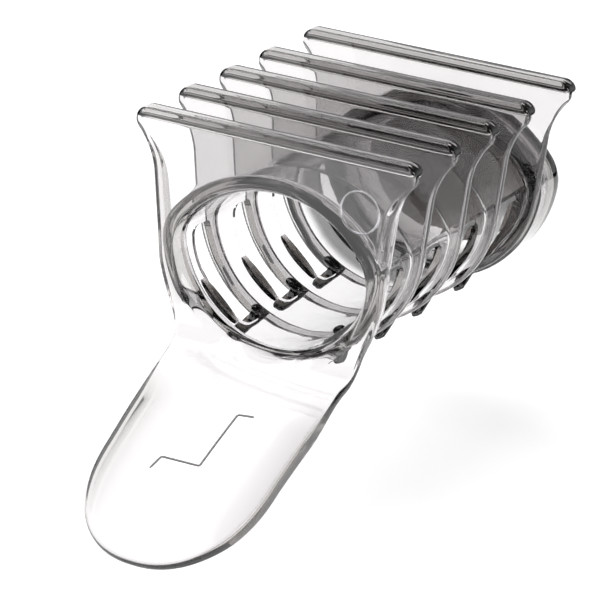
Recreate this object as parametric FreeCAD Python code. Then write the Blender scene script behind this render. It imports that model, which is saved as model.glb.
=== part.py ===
# Clear plastic cheek retractor: a tongue-shaped thumb rest with an upright
# front plate, a channel running back from it, four ring plates that slide on
# the channel between stops, and a closed end cap.
#
# Millimetres.  X runs across the object, Y runs back along the channel, Z runs
# up.  The origin is on the channel axis in the front face of the front plate.

import math
import os

import FreeCAD
import Part

Vector = FreeCAD.Vector

# ---- plates ---------------------------------------------------------------
PLATE_HALF_WIDTH = 20.0
PLATE_TOP = 15.0
WEB = 1.2
RAIL_DEPTH = 2.5
RAIL_HEIGHT = 1.5
CORNER_RADIUS = 1.3
FLARE_RADIUS = 9.4
SIDE_LEAN = 6.0
ROUND_RADIUS = 16.4
ROUND_CENTRE = 0.75
EDGE_ROUND = 0.4
PLATE_PITCH = 10.0
LAST_GAP = 11.6

# ---- channel --------------------------------------------------------------
BORE_RADIUS = 13.7
ROOF_TOP = 6.9
SEAM_LEVEL = -0.6
FOOT_ANGLE = 56.0
CHANNEL_WALL = 1.0
CHANNEL_TAIL = 4.9
SEAM_GAP = 0.05
SLOT_LENGTH = 4.5
SLOT_TOP_ANGLE = 5.0
SLOT_BOTTOM_ANGLE = 67.0
SLOT_SETBACK = 1.0
SLOT_CORNER = 0.5

LEDGE_DEPTH = 1.6
LEDGE_TOP_ANGLE = 33.0
LEDGE_BOTTOM_ANGLE = 69.0

# ---- ring plate catches ---------------------------------------------------
FIT_CLEARANCE = 0.05
CATCH_ANGLE = 63.0
FINGER_REACH = 4.0
FINGER_LEAN = 1.4
FINGER_WIDTH = 2.4
FINGER_THICKNESS = 1.2
PIP_RADIUS = 0.55
PIP_LENGTH = 0.95

# ---- front plate mouth, collar and tongue ---------------------------------
MOUTH_RADIUS = 14.2
MOUTH_CENTRE = -2.0
MOUTH_TOP = 8.5
THROAT_DEPTH = 2.2
COLLAR_WALL = 0.85
COLLAR_REAR = 3.6
SIDE_MIDDLE = (15.8, -5.3)
SIDE_LOW = (14.3, -9.8)
NECK_HALF_WIDTH = 12.86
TONGUE_LEVEL = -13.8
TONGUE_THICKNESS = 1.3
TONGUE_SLOPE = 22.8
TONGUE_ARCH = 147.0
TONGUE_LENGTH = 34.84
TONGUE_SHOULDER = (12.05, 19.1)
TIP_POWER = 2.27
MARK_CENTRE = (12.6, 7.7)
MARK_RADIUS = 2.7
MARK_WIDTH = 0.3
MARK_DEPTH = 0.12
STEP_LINE = ((-4.4, 21.8), (-3.8, 19.6), (1.6, 19.5), (2.2, 10.6), (4.5, 10.3))

# ---- end cap --------------------------------------------------------------
CAP_WALL = 1.45
CAP_GAP = 0.3
CAP_TAIL = 4.0
CAP_FLOOR = 1.4
CAP_ROUND = 2.5


def at(x, z, y=0.0):
    """Point given across, up and back."""
    return Vector(x, y, z)


def on_circle(centre, radius, degrees):
    """Point on a circle in the plate plane, angle counted from +X towards +Z."""
    angle = math.radians(degrees)
    return (centre[0] + radius * math.cos(angle), centre[1] + radius * math.sin(angle))


def arc_edge(start, middle, end):
    """Arc through three points of the plate plane."""
    return Part.Arc(at(*start), at(*middle), at(*end)).toShape()


def line_edge(start, end):
    """Straight edge between two points of the plate plane."""
    return Part.LineSegment(at(*start), at(*end)).toShape()


def mirrored(point):
    """The same point on the other side of the middle plane."""
    return (-point[0], point[1])


def prism(edges, front, length):
    """Solid between a closed outline and its copy a given length further back."""
    face = Part.Face(Part.Wire(Part.__sortEdges__(edges)))
    face.translate(Vector(0, front, 0))
    return face.extrude(Vector(0, length, 0))


def section(radius, centre, roof_top, grow):
    """Corner and arch top of an outline that is round below and arched above."""
    rise = roof_top - SEAM_LEVEL
    half = radius ** 2 - (SEAM_LEVEL - centre) ** 2
    arch = (half + rise ** 2) / (2 * rise)
    arch_centre = roof_top - arch
    low = radius + grow
    high = arch + grow
    level = ((high ** 2 - low ** 2) / (centre - arch_centre) + centre + arch_centre) / 2
    corner = (math.sqrt(low ** 2 - (level - centre) ** 2), level)
    return corner, (0, roof_top + grow)


def channel_edges(grow):
    """Channel bore outline grown outwards by a given amount."""
    corner, crown = section(BORE_RADIUS, 0, ROOF_TOP, grow)
    radius = BORE_RADIUS + grow
    foot = on_circle((0, 0), radius, -FOOT_ANGLE)
    side = on_circle((0, 0), radius, -FOOT_ANGLE / 2)
    return [arc_edge(mirrored(corner), crown, corner),
            arc_edge(corner, side, foot),
            arc_edge(foot, (0, -radius), mirrored(foot)),
            arc_edge(mirrored(foot), mirrored(side), mirrored(corner))]


def mouth_edges(grow, level):
    """Mouth outline grown outwards, closed by a flat floor at a given level."""
    corner, crown = section(MOUTH_RADIUS, MOUTH_CENTRE, MOUTH_TOP, grow)
    radius = MOUTH_RADIUS + grow
    drop = MOUTH_CENTRE - level
    foot = (math.sqrt(radius ** 2 - drop ** 2), level)
    side = on_circle((0, MOUTH_CENTRE), radius, -FOOT_ANGLE / 2)
    return [arc_edge(mirrored(corner), crown, corner),
            arc_edge(corner, side, foot),
            line_edge(foot, mirrored(foot)),
            arc_edge(mirrored(foot), mirrored(side), mirrored(corner))]


def flare():
    """Corner centre, flare arc centre and upper end of the straight side."""
    lean = math.radians(SIDE_LEAN)
    along = (math.sin(lean), math.cos(lean))
    normal = (math.cos(lean), -math.sin(lean))
    side = (ROUND_RADIUS * normal[0], ROUND_CENTRE + ROUND_RADIUS * normal[1])
    corner = (PLATE_HALF_WIDTH - CORNER_RADIUS, PLATE_TOP - CORNER_RADIUS)
    apart = (side[0] + FLARE_RADIUS * normal[0] - corner[0],
             side[1] + FLARE_RADIUS * normal[1] - corner[1])
    reach = FLARE_RADIUS + CORNER_RADIUS
    slide = apart[0] * along[0] + apart[1] * along[1]
    size = apart[0] ** 2 + apart[1] ** 2
    run = -slide - math.sqrt(slide ** 2 - size + reach ** 2)
    upper = (side[0] + run * along[0], side[1] + run * along[1])
    centre = (upper[0] + FLARE_RADIUS * normal[0], upper[1] + FLARE_RADIUS * normal[1])
    return corner, centre, upper, side


def top_side_edges(side_sign):
    """One side of a plate outline from the top edge down to the round."""
    corner, centre, upper, side = flare()
    turn = math.degrees(math.atan2(centre[1] - corner[1], centre[0] - corner[0]))
    start = on_circle(corner, CORNER_RADIUS, 90)
    knuckle = on_circle(corner, CORNER_RADIUS, (90 + turn) / 2)
    meet = on_circle(corner, CORNER_RADIUS, turn)
    waist = on_circle(centre, FLARE_RADIUS, (180 + turn + 180 - SIDE_LEAN) / 2)
    points = [start, knuckle, meet, waist, upper, side]
    if side_sign < 0:
        points = [mirrored(point) for point in points]
    return [arc_edge(points[0], points[1], points[2]),
            arc_edge(points[2], points[3], points[4]),
            line_edge(points[4], points[5])]


def top_edge():
    """Straight top edge between the two corner rounds."""
    end = (PLATE_HALF_WIDTH - CORNER_RADIUS, PLATE_TOP)
    return line_edge(mirrored(end), end)


def ring_outline():
    """Plate outline closed by a full round at the bottom."""
    side = flare()[3]
    bottom = arc_edge(mirrored(side), (0, ROUND_CENTRE - ROUND_RADIUS), side)
    return [top_edge(), bottom] + top_side_edges(1) + top_side_edges(-1)


def front_outline():
    """Plate outline whose sides run down to the neck of the tongue."""
    side = flare()[3]
    neck = (NECK_HALF_WIDTH, ROUND_CENTRE - ROUND_RADIUS)
    edges = [top_edge(), line_edge(mirrored(neck), neck)]
    edges += top_side_edges(1) + top_side_edges(-1)
    for turn in (tuple, mirrored):
        edges.append(arc_edge(turn(side), turn(SIDE_MIDDLE), turn(SIDE_LOW)))
        edges.append(line_edge(turn(SIDE_LOW), turn(neck)))
    return edges


def plate_blank(outline):
    """Thin plate with a deeper rail along its top edge, all outer edges rounded."""
    web = prism(outline, 0, WEB)
    above = Part.makeBox(4 * PLATE_HALF_WIDTH, RAIL_DEPTH, RAIL_HEIGHT,
                         at(-2 * PLATE_HALF_WIDTH, PLATE_TOP - RAIL_HEIGHT))
    rail = prism(outline, 0, RAIL_DEPTH).common(above)
    blank = web.fuse(rail).removeSplitter()
    faces = [face for face in blank.Faces if flat_at(face, 0) or flat_at(face, RAIL_DEPTH)]
    edges = [edge for face in faces for edge in face.Edges]
    return blank.makeFillet(EDGE_ROUND, edges)


def flat_at(face, depth):
    """True for a face lying in the plane at this depth."""
    box = face.BoundBox
    return abs(box.YMin - depth) < 0.001 and abs(box.YMax - depth) < 0.001


def sector(inner, outer, low, high, front, length, side_sign):
    """Block between two radii and two angles below the horizontal."""
    points = []
    for radius, angle in ((inner, low), (outer, low), (outer, high), (inner, high)):
        point = on_circle((0, 0), radius, -angle)
        points.append(point if side_sign > 0 else mirrored(point))
    middle = on_circle((0, 0), outer, -(low + high) / 2)
    hollow = on_circle((0, 0), inner, -(low + high) / 2)
    if side_sign < 0:
        middle = mirrored(middle)
        hollow = mirrored(hollow)
    edges = [line_edge(points[0], points[1]),
             arc_edge(points[1], middle, points[2]),
             line_edge(points[2], points[3]),
             arc_edge(points[3], hollow, points[0])]
    return prism(edges, front, length)


def plate_fronts():
    """Depth of the front face of every plate, front plate first."""
    fronts = [PLATE_PITCH * number for number in range(4)]
    return fronts + [fronts[-1] + LAST_GAP]


def slot_tool(plate_front, side_sign):
    """Window cut through the channel wall ahead of a ring plate."""
    inner = BORE_RADIUS - CHANNEL_WALL
    outer = BORE_RADIUS + 2 * CHANNEL_WALL
    front = plate_front - SLOT_SETBACK - SLOT_LENGTH
    tool = sector(inner, outer, SLOT_TOP_ANGLE, SLOT_BOTTOM_ANGLE, front, SLOT_LENGTH, side_sign)
    long_edges = [edge for edge in tool.Edges if runs_outward(edge)]
    return tool.makeFillet(SLOT_CORNER, long_edges)


def runs_outward(edge):
    """True for a straight edge pointing away from the channel axis."""
    box = edge.BoundBox
    return edge.Curve.TypeId == "Part::GeomLine" and box.YLength < 0.001


def below(shape, degrees, side_sign):
    """Turn a shape made straight up the middle plane to an angle below the horizontal."""
    shape.rotate(Vector(0, 0, 0), Vector(0, 1, 0), side_sign * (90 + degrees))
    return shape


def finger():
    """Sprung finger that leaves the ring forwards, leaning away from the channel."""
    inner = BORE_RADIUS + CHANNEL_WALL + FIT_CLEARANCE
    outer = inner + FINGER_THICKNESS
    side = [(WEB, inner), (0, inner), (-FINGER_REACH, inner + FINGER_LEAN),
            (-FINGER_REACH, outer + FINGER_LEAN), (0, outer), (WEB, outer)]
    points = [Vector(-FINGER_WIDTH / 2, back, up) for back, up in side]
    body = Part.Face(Part.makePolygon(points + points[:1])).extrude(Vector(FINGER_WIDTH, 0, 0))
    tip = [edge for edge in body.Edges
           if abs(edge.BoundBox.YMin + FINGER_REACH) < 0.001 and edge.BoundBox.YLength < 0.001]
    return body.makeFillet(EDGE_ROUND, tip)


def catch(plate_front, side_sign):
    """Finger ahead of a ring plate with a pip that stands in the slot."""
    inner = BORE_RADIUS + CHANNEL_WALL + FIT_CLEARANCE
    pip_back = SLOT_SETBACK + FIT_CLEARANCE + PIP_RADIUS
    root = inner + FINGER_LEAN * pip_back / FINGER_REACH + FINGER_THICKNESS / 2
    foot = inner - PIP_LENGTH
    pip = Part.makeCylinder(PIP_RADIUS, root - foot, Vector(0, -pip_back, foot), Vector(0, 0, 1))
    shape = below(finger().fuse(pip), CATCH_ANGLE, side_sign)
    shape.translate(Vector(0, plate_front, 0))
    return shape


def ring_plate(plate_front):
    """Plate running on the channel, with a catch on each side of its underside."""
    plate = plate_blank(ring_outline())
    hole = prism(channel_edges(CHANNEL_WALL + FIT_CLEARANCE), -1, RAIL_DEPTH + 2)
    plate = plate.cut(hole)
    plate.translate(Vector(0, plate_front, 0))
    for side_sign in (1, -1):
        plate = plate.fuse(catch(plate_front, side_sign))
    return plate.removeSplitter()


def tube(inner_grow, wall, front, length):
    """Hollow length of the channel section."""
    outside = prism(channel_edges(inner_grow + wall), front, length)
    return outside.cut(prism(channel_edges(inner_grow), front - 1, length + 2))


def half_space(above):
    """Block above or below the seam between the two channel halves."""
    size = 6 * PLATE_HALF_WIDTH
    base = SEAM_LEVEL + SEAM_GAP if above else SEAM_LEVEL - size
    return Part.makeBox(size, size, size, Vector(-size / 2, -size / 4, base))


def channel_rear():
    """Depth of the rear end of the channel, behind the last ring plate."""
    return plate_fronts()[-1] + CHANNEL_TAIL


def ledge(plate_front, side_sign):
    """Half-moon ledge inside the channel along the front edge of a window."""
    radius = BORE_RADIUS + CHANNEL_WALL / 2
    half = (LEDGE_BOTTOM_ANGLE - LEDGE_TOP_ANGLE) / 2
    level = BORE_RADIUS * math.cos(math.radians(half))
    end = (math.sqrt(radius ** 2 - level ** 2), level)
    moon = prism([line_edge(mirrored(end), end), arc_edge(end, (0, radius), mirrored(end))],
                 plate_front - SLOT_SETBACK - SLOT_LENGTH - LEDGE_DEPTH, LEDGE_DEPTH)
    return below(moon, LEDGE_TOP_ANGLE + half, side_sign)


def lower_channel():
    """Round trough with a pair of windows and ledges ahead of every ring plate."""
    trough = tube(0, CHANNEL_WALL, THROAT_DEPTH, channel_rear() - THROAT_DEPTH).common(half_space(False))
    for plate_front in plate_fronts()[1:]:
        for side_sign in (1, -1):
            trough = trough.fuse(ledge(plate_front, side_sign))
            trough = trough.cut(slot_tool(plate_front, side_sign))
    return trough


def upper_channel():
    """Low arched roof over the trough."""
    return tube(0, CHANNEL_WALL, THROAT_DEPTH, channel_rear() - THROAT_DEPTH).common(half_space(True))


def end_cap():
    """Closed cup over the rear end of the channel."""
    front = plate_fronts()[-1] + WEB + CAP_GAP
    end = channel_rear() + CAP_TAIL
    shape = channel_edges(CHANNEL_WALL + FIT_CLEARANCE + CAP_WALL)
    body = prism(shape, front, end - front)
    rear = [face for face in body.Faces if flat_at(face, end)]
    body = body.makeFillet(CAP_ROUND, rear[0].Edges)
    socket = channel_edges(CHANNEL_WALL + FIT_CLEARANCE)
    body = body.cut(prism(socket, front - 1, channel_rear() + FIT_CLEARANCE - front + 1))
    return body.cut(prism(channel_edges(0), front, end - CAP_FLOOR - front))


def tongue_slab(thickness):
    """Full-width curved layer under the top face of the tongue, with a flat root."""
    edges = []
    ends = []
    for depth in (0, thickness):
        radius = TONGUE_ARCH - depth
        axis = on_circle((0, TONGUE_LEVEL), TONGUE_ARCH, TONGUE_SLOPE - 90)
        sweep = math.degrees((TONGUE_LENGTH + TONGUE_THICKNESS) / TONGUE_ARCH)
        first, middle, last = [in_side(on_circle(axis, radius, 90 + TONGUE_SLOPE + sweep * part))
                               for part in (0, 0.5, 1)]
        root = in_side((WEB, TONGUE_LEVEL - depth))
        edges.append(Part.LineSegment(root, first).toShape())
        edges.append(Part.Arc(first, middle, last).toShape())
        ends.append((root, last))
    for near, other in zip(ends[0], ends[1]):
        edges.append(Part.LineSegment(near, other).toShape())
    face = Part.Face(Part.Wire(Part.__sortEdges__(edges)))
    face.translate(Vector(-PLATE_HALF_WIDTH, 0, 0))
    return face.extrude(Vector(2 * PLATE_HALF_WIDTH, 0, 0))


def in_side(point):
    """Point of the side view, given back and up."""
    return Vector(0, point[0], point[1])


def in_plan(point):
    """Point of the tongue outline, given across and ahead of the neck."""
    return Vector(point[0], -point[1], 0)


def tongue_plan():
    """Tongue outline seen square on: slightly tapering sides and a full, squarish tip."""
    wide, shoulder = TONGUE_SHOULDER
    tip = []
    for number in range(13):
        turn = math.pi * number / 12
        across = math.copysign(abs(math.cos(turn)) ** (2 / TIP_POWER), math.cos(turn))
        ahead = math.sin(turn) ** (2 / TIP_POWER)
        tip.append(in_plan((wide * across, shoulder + (TONGUE_LENGTH - shoulder) * ahead)))
    tip[-1] = in_plan((-wide, shoulder))
    curve = Part.BSplineCurve()
    curve.interpolate(tip)
    root = in_plan((NECK_HALF_WIDTH, -WEB))
    other = in_plan((-NECK_HALF_WIDTH, -WEB))
    return [curve.toShape(),
            Part.LineSegment(tip[-1], other).toShape(),
            Part.LineSegment(other, root).toShape(),
            Part.LineSegment(root, tip[0]).toShape()]


def on_tongue(shape):
    """Lay a shape made in the tongue outline plane onto the chord of the tongue."""
    chord = TONGUE_SLOPE + math.degrees(TONGUE_LENGTH / TONGUE_ARCH) / 2
    shape.rotate(Vector(0, 0, 0), Vector(1, 0, 0), chord)
    shape.translate(Vector(0, 0, TONGUE_LEVEL))
    return shape


def tongue():
    """Thumb rest arching forward and down from the foot of the front plate."""
    plan = Part.Face(Part.Wire(Part.__sortEdges__(tongue_plan())))
    plan.translate(Vector(0, 0, -3 * TONGUE_THICKNESS))
    column = on_tongue(plan.extrude(Vector(0, 0, 6 * TONGUE_THICKNESS)))
    blade = tongue_slab(TONGUE_THICKNESS).common(column)
    rims = [edge for edge in blade.Edges if edge.BoundBox.YMin < -WEB * 2]
    return blade.makeFillet(EDGE_ROUND, rims)


def step_groove():
    """Shallow cranked line in the top face of the tongue."""
    pieces = []
    for start, end in zip(STEP_LINE, STEP_LINE[1:]):
        first = in_plan(start)
        run = in_plan(end) - first
        bar = Part.makeBox(run.Length + MARK_WIDTH, MARK_WIDTH, 4 * TONGUE_THICKNESS,
                           Vector(-MARK_WIDTH / 2, -MARK_WIDTH / 2, -TONGUE_THICKNESS))
        bar.rotate(Vector(0, 0, 0), Vector(0, 0, 1), math.degrees(math.atan2(run.y, run.x)))
        bar.translate(first)
        pieces.append(bar)
    bars = on_tongue(pieces[0].multiFuse(pieces[1:]))
    return tongue_slab(MARK_DEPTH).common(bars)


def ring_mark():
    """Plain shallow ring on the face of the front plate."""
    start = at(MARK_CENTRE[0], MARK_CENTRE[1], -MARK_DEPTH)
    back = Vector(0, 1, 0)
    disc = Part.makeCylinder(MARK_RADIUS + MARK_WIDTH / 2, 2 * MARK_DEPTH, start, back)
    return disc.cut(Part.makeCylinder(MARK_RADIUS - MARK_WIDTH / 2, 2 * MARK_DEPTH, start, back))


def collar():
    """Block behind the mouth that holds the front of the channel."""
    floor = ROUND_CENTRE - ROUND_RADIUS
    wall = prism(mouth_edges(COLLAR_WALL, floor), 0, THROAT_DEPTH)
    return wall.fuse(prism(channel_edges(CHANNEL_WALL + FIT_CLEARANCE + COLLAR_WALL),
                           WEB, COLLAR_REAR - WEB))


def throat():
    """Funnel from the wide mouth to the channel bore."""
    front = Part.Wire(Part.__sortEdges__(mouth_edges(0, TONGUE_LEVEL)))
    back = Part.Wire(Part.__sortEdges__(channel_edges(0)))
    back.translate(Vector(0, THROAT_DEPTH, 0))
    return Part.makeLoft([front, back], True, True)


def front_plate():
    """Front plate with its mouth, channel collar and tongue in one moulding."""
    plate = plate_blank(front_outline()).fuse(collar())
    plate = plate.fuse(tongue())
    plate = plate.cut(throat())
    socket = channel_edges(CHANNEL_WALL + FIT_CLEARANCE)
    plate = plate.cut(prism(socket, THROAT_DEPTH, COLLAR_REAR))
    return plate.cut(ring_mark()).cut(step_groove())


def save(node, shape):
    """Check one solid and write it under its node name."""
    solids = shape.Solids
    print(node, "solids", len(solids), "valid", shape.isValid(), "volume", round(shape.Volume, 1))
    solids[0].exportStep("parts/" + node + ".step")


def main():
    os.makedirs("parts", exist_ok=True)
    save("front_plate", front_plate())
    save("lower_channel", lower_channel())
    save("upper_channel", upper_channel())
    for number, plate_front in enumerate(plate_fronts()[1:], start=2):
        save("ring_plate_%d" % number, ring_plate(plate_front))
    save("end_cap", end_cap())


main()
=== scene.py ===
"""Clear plastic cheek retractor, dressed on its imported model.

Metres.  X runs across the object, Y runs back along the channel, Z runs up, and the
origin is on the channel axis in the front face of the front plate.
"""

import math
import bmesh
import bpy
import numpy as np
from mathutils import Matrix, Vector

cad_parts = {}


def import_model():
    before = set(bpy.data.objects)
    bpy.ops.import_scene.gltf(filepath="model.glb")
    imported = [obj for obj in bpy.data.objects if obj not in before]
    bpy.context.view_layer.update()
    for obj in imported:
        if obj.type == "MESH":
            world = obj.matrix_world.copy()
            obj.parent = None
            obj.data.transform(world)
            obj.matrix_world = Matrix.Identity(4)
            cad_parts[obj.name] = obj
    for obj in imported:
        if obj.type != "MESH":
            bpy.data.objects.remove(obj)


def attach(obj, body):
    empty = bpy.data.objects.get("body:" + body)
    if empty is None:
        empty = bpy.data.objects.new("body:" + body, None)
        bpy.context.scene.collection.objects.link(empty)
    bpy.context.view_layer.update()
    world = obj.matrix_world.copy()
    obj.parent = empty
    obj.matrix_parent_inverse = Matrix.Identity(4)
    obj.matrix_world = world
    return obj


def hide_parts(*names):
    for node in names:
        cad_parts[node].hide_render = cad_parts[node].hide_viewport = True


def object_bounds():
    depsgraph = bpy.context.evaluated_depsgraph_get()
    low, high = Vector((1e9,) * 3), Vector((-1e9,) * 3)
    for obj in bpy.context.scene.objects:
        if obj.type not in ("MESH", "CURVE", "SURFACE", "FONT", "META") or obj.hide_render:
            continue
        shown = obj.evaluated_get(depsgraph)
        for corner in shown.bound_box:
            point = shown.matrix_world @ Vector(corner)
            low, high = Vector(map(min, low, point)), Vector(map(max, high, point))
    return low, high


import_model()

bl_info = {
    "name": "Cheek retractor dressing",
    "version": (1, 0, 0),
    "blender": (4, 5, 0),
    "location": "3D View > Sidebar > Retractor",
    "description": "Moulded clear plates, channel and tongue with their studio stage",
    "category": "Object",
}

MM = 0.001
WELD_DISTANCE = 2e-7
SHARP_ANGLE = math.radians(35)
CAD_BOX = [list(corner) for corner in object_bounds()]
PLATES = ("ring_plate_2", "ring_plate_3", "ring_plate_4", "ring_plate_5")


# ---- sizes of the moulded pieces, millimetres --------------------------------

HALF_WIDTH, TOP, WEB = 20.0, 15.0, 1.2
RAIL_DEPTH, RAIL_HEIGHT = 2.5, 1.5
CORNER, FLARE, LEAN = 1.7, 9.4, math.radians(6.0)
ROUND, ROUND_LEVEL = 16.4, 0.75
RIM, LIP, FILLET, HOLE_LIP = 0.5, 0.5, 0.15, 0.12
FRONTS = (0.0, 10.0, 20.0, 30.0, 41.6)
BORE, ROOF, SEAM = 13.7, 6.9, -0.6
WALL, FIT = 1.0, 0.05
MOUTH, MOUTH_LEVEL, MOUTH_TOP = 14.2, -2.0, 8.5
THROAT, COLLAR_REAR = 2.15, 3.6
BEND, SLOPE, ARCH = 3.0, math.radians(22.8), 147.0
FLOOR_LEVEL, BLADE = -13.8, 1.3
SHOULDER, TIP, TIP_POWER, TONGUE_LIP = (12.05, 19.1), 34.84, 2.27, 1.15
HOLLOW_START, HOLLOW_RISE, HOLLOW_PAST, HOLLOW_FALL, HOLLOW_MOST = 3.0, 8.0, 1.5, 9.0, 1.05
SIDE_BEAD, BEAD_WIDTH = 0.7, 2.0
BEAD_TOP, BEAD_TOP_FADE, BEAD_LOW, BEAD_LOW_FADE = 11.5, 3.0, -13.0, 6.0
FRONT_EYE, CAP_EYE = (0.0, -4.0), (0.0, -3.0)
HEEL_LEVEL, HEEL, HEEL_ROOF = -0.6, 15.8, 2.3
NECK_START, NECK_RISE = 0.3, 0.4
MARK_PLACE = (12.6, 7.7)
STEP_CORNERS = ((-4.4, 21.8), (-3.8, 19.6), (1.6, 19.5), (2.2, 10.6), (4.5, 10.3))
CAP_FRONT, CAP_END, CAP_WALL, CAP_FLOOR, CAP_ROUND = 43.1, 50.5, 1.45, 1.4, 2.5
CHANNEL_FRONT, CHANNEL_REAR = 2.2, 46.5
WINDOW_TOP, WINDOW_BOTTOM, WINDOW_LENGTH, WINDOW_SETBACK = 5.0, 67.0, 4.5, 1.0
WINDOW_POWER = 0.4
CATCH_ANGLE = math.radians(63.0)
FINGER_WIDTH, FINGER_THICKNESS, FINGER_POWER = 1.0, 0.48, 0.6
FINGER_WAY = ((1.1, 15.35, 0.0), (1.1, 15.35, 0.8), (0.9, 15.35, 1.0), (0.0, 15.38, 1.0),
              (-1.3, 15.8, 0.98), (-2.6, 16.25, 0.92), (-3.6, 16.58, 0.85), (-3.9, 16.68, 0.6),
              (-4.0, 16.71, 0.0))
PIP_SETBACK, PIP_RADIUS, PIP_HALVES = 1.62, 14.4, (0.5, 0.6, 1.0)
KNOB_RADIUS, KNOB_LENGTH, KNOB_THICKNESS, KNOB_LEAN = 13.25, 0.95, 0.55, 0.8
LEDGE_MIDDLE, LEDGE_HALF = math.radians(48.0), math.radians(15.0)
LEDGE_GAP, LEDGE_SWELL = 0.02, 0.15
LEDGE_SECTION = ((0, -1.6), (0.85, -1.6), (1, -1.35), (1, -0.25), (0.85, 0), (0, 0))
CORE_INSET, CORE_GAP = -1.0, 0.02
CORE_SECTION = ((0.0, 0.5), (0.5, 0.5), (0.96, 0.5), (0.99, 0.4), (1.0, 0.25), (0.99, 0.1),
                (0.96, 0.0), (0.5, 0.0), (0.0, 0.0))
JOINT, MOTTLE, SOFT = 0.012, 0.012, 1.2


# ---- looks, metres ---------------------------------------------------------------

CLEAR_IOR, RIPPLE_HEIGHT, FLOW_STRETCH = 1.58, 0.00003, 0.45
SCUFF_SCALE, SCUFF_ROUGHNESS = 420.0, 0.02
SHADOW_TINT = (0.86, 0.85, 0.88, 1.0)
SMOOTH, CHANNEL_ROUGHNESS, CATCH_ROUGHNESS = 0.01, 0.012, 0.05
BROAD_FLOW, FINE_FLOW = 90, 160
# Painted shade over the lower channel's last bay: its front and rear in metres, and its ramp.
BAY_FRONT, BAY_REAR = 0.0312, 0.0428
RAMP_SCALE, BAY_FADE_IN, BAY_FADE_OUT = 20.0, 0.03, 0.02
FLOOR_SIDE, PAPER_FADE, PAPER_DARK = 3.0, 0.6, (0.05, 0.05, 0.05, 1)
SKY_WHITE, SKY_DARK = 1.0, 0.08
AIM, FRAMING = (0, 0.010, 0), (0.00106, 0.00901)
KEY_PLACE, KEY_SIZE = (-0.47, 0.1, 0.93), (0.95, 0.95)
FILL_PLACE, FILL_SIZE = (0.9, -0.3, 0.5), (0.5, 0.5)


# ---- surfaces worked out on grids ----------------------------------------------

def put_object(name, data):
    """New object in the scene."""
    thing = bpy.data.objects.new(name, data)
    bpy.context.scene.collection.objects.link(thing)
    return thing


def put_piece(name, parts, body, node=None):
    """One mesh object from (points, quads, material number, joint mask) parts.

    A part whose signed volume, a sixth of the sum of triple products over its triangles,
    is negative has its quads turned round, so that faces point outwards.
    """
    points, quads, finish, joints, count = [], [], [], [], 0
    for rows, faces, number, *joint in parts:
        flat = rows.reshape(-1, 3) * MM
        a, b, c, d = (flat[faces[:, k]] for k in range(4))
        size = (a * (np.cross(b, c) + np.cross(c, d))).sum()
        faces = faces if size > 0 else faces[:, ::-1]
        points.append(flat)
        quads.append(faces + count)
        finish.append(np.full(len(faces), number))
        joints.append(np.float32(joint[0] if joint else np.zeros(len(faces))))
        count += len(flat)
    points, quads, finish = np.concatenate(points), np.concatenate(quads), np.concatenate(finish)
    mesh = bpy.data.meshes.new(name)
    mesh.from_pydata(points, [], quads)
    mesh.polygons.foreach_set("material_index", finish.astype(np.int32))
    mesh.polygons.foreach_set("use_smooth", np.ones(len(quads), dtype=bool))
    mesh.attributes.new("joint", "FLOAT", "FACE").data.foreach_set("value", np.concatenate(joints))
    weld = bmesh.new()
    weld.from_mesh(mesh)
    bmesh.ops.remove_doubles(weld, verts=weld.verts, dist=WELD_DISTANCE)
    weld.to_mesh(mesh)
    weld.free()
    mesh.set_sharp_from_angle(angle=SHARP_ANGLE)
    piece = put_object(name, mesh)
    if node:
        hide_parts(node)
    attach(piece, body)
    return piece


def grid_quads(rows, count, steps):
    """Quads of a grid that closes along each row, over a number of steps from row to row."""
    r, c = np.meshgrid(np.arange(steps), np.arange(count), indexing="ij")
    r2, c2 = (r + 1) % rows, (c + 1) % count
    corners = [r * count + c, r * count + c2, r2 * count + c2, r2 * count + c]
    return np.stack(corners, -1).reshape(-1, 4)


def looped(rows, number):
    """Part of a piece from a grid that closes both ways, with its material number."""
    return rows, grid_quads(*rows.shape[:2], len(rows)), number


def capped(rows, number):
    """Part of a piece from a grid whose first and last rows are points, with its number."""
    return rows, grid_quads(*rows.shape[:2], len(rows) - 1), number


def arc(centre, radius, start, end, count):
    """Points of a circle from one angle to another, angles from +X towards +Z."""
    turn = np.linspace(start, end, count)
    return np.stack([centre[0] + radius * np.cos(turn), centre[1] + radius * np.sin(turn)], -1)


def run(start, end, count):
    """Evenly spaced points of a straight line."""
    part = np.linspace(0, 1, count)[:, None]
    return np.array(start) * (1 - part) + np.array(end) * part


def bow(p, q, r, s, count):
    """Cubic curve with four control points: their Bernstein-weighted sum."""
    t = np.linspace(0, 1, count)[:, None]
    p, q, r, s = (np.array(v) for v in (p, q, r, s))
    return (1 - t) ** 3 * p + 3 * t * (1 - t) ** 2 * q + 3 * t * t * (1 - t) * r + t ** 3 * s


def flare():
    """Corner centre, flare centre, its lower end and the lower end of the straight side."""
    along = np.array([math.sin(LEAN), math.cos(LEAN)])
    out = np.array([math.cos(LEAN), -math.sin(LEAN)])
    side = np.array([0, ROUND_LEVEL]) + ROUND * out
    corner = np.array([HALF_WIDTH - CORNER, TOP - CORNER])
    apart = side + FLARE * out - corner
    slide = apart @ along
    reach = -slide - math.sqrt(slide ** 2 - apart @ apart + (FLARE + CORNER) ** 2)
    upper = side + reach * along
    return corner, upper + FLARE * out, upper, side


def side_run():
    """Right side of a plate from the middle of the top edge down to the waist."""
    corner, centre, upper, side = flare()
    turn = math.atan2(centre[1] - corner[1], centre[0] - corner[0])
    return [run((0, TOP), (corner[0] - 0.01, TOP), 60),
            arc(corner, CORNER, math.pi / 2, turn, 44),
            arc(centre, FLARE, turn + math.pi, math.pi - LEAN, 34),
            run(upper, side, 14)]


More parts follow.
